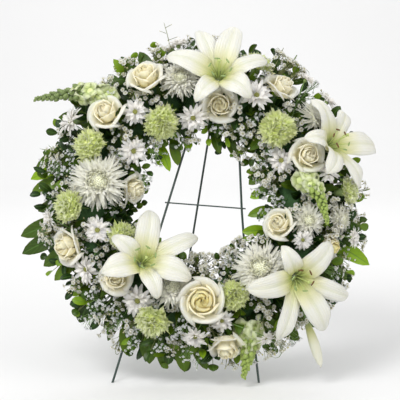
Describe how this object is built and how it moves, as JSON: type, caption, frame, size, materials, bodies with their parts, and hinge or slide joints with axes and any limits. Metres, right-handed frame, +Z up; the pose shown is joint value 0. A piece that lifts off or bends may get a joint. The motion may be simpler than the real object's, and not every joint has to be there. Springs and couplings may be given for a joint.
{
  "type": "funeral wreath",
  "caption": "Round standing wreath of white and pale green flowers on a foam ring, carried by a leaning wire easel whose back leg folds.",
  "frame": {"origin": "on the floor, under the middle of the whole object's bounding box", "axes": "+Z up, +X to the right as seen from the front, the flowers face -Y"},
  "size_m": [0.6104, 0.408, 0.601],
  "materials": {
    "wire": "dark green paint, satin",
    "tray_plastic": "dark green moulded plastic",
    "tie_plastic": "green strap, matt",
    "foam": "wet floral foam, matt and porous",
    "rose_petal": "cream petals, soft sheen",
    "carnation_petal": "pale lime petals, matt",
    "mum_petal": "white petals, matt",
    "daisy_petal": "white petals, matt",
    "lily_petal": "white petals, waxy sheen",
    "snapdragon": "pale green florets, matt",
    "leaf": "dark green leaves, glossy",
    "waxflower": "tiny cream florets, matt"
  },
  "bodies": {
    "easel_with_wreath": {"front_left_leg": "wire", "front_right_leg": "wire", "crossbar": "wire", "tray": "tray_plastic", "tie_left": "tie_plastic", "tie_right": "tie_plastic", "foam_ring": "foam", "rose_01": "rose_petal", "rose_02": "rose_petal", "rose_03": "rose_petal", "rose_04": "rose_petal", "rose_05": "rose_petal", "rose_06": "rose_petal", "rose_07": "rose_petal", "rose_08": "rose_petal", "rose_09": "rose_petal", "rose_10": "rose_petal", "rose_11": "rose_petal", "rose_12": "rose_petal", "carnation_01": "carnation_petal", "carnation_02": "carnation_petal", "carnation_03": "carnation_petal", "carnation_04": "carnation_petal", "carnation_05": "carnation_petal", "carnation_06": "carnation_petal", "carnation_07": "carnation_petal", "carnation_08": "carnation_petal", "carnation_09": "carnation_petal", "mum_01": "mum_petal", "mum_02": "mum_petal", "mum_03": "mum_petal", "mum_04": "mum_petal", "mum_05": "mum_petal", "mum_spray": "mum_petal", "daisies_01": "daisy_petal", "daisies_02": "daisy_petal", "daisies_03": "daisy_petal", "daisies_04": "daisy_petal", "daisies_05": "daisy_petal", "daisies_06": "daisy_petal", "daisies_07": "daisy_petal", "daisies_08": "daisy_petal", "daisies_09": "daisy_petal", "daisies_10": "daisy_petal", "lily_1": "lily_petal", "lily_2": "lily_petal", "lily_3": "lily_petal", "lily_4": "lily_petal", "snapdragon_1": "snapdragon", "snapdragon_2": "snapdragon", "snapdragon_3": "snapdragon", "leaves_outer_left": "leaf", "leaves_outer_bottom": "leaf", "leaves_outer_right": "leaf", "leaves_outer_top": "leaf", "leaves_inner_top": "leaf", "leaves_inner_right": "leaf", "leaves_inner_left": "leaf", "waxflower": "waxflower"},
    "folding_leg": {"back_leg": "wire"}
  },
  "joints": [
    {"name": "back_leg_fold", "type": "hinge", "parent": "easel_with_wreath", "child": "folding_leg", "pos_m": [0.0453, 0.0458, 0.5795], "axis": [1, 0, 0], "range_deg": [-26, 0]}
  ]
}
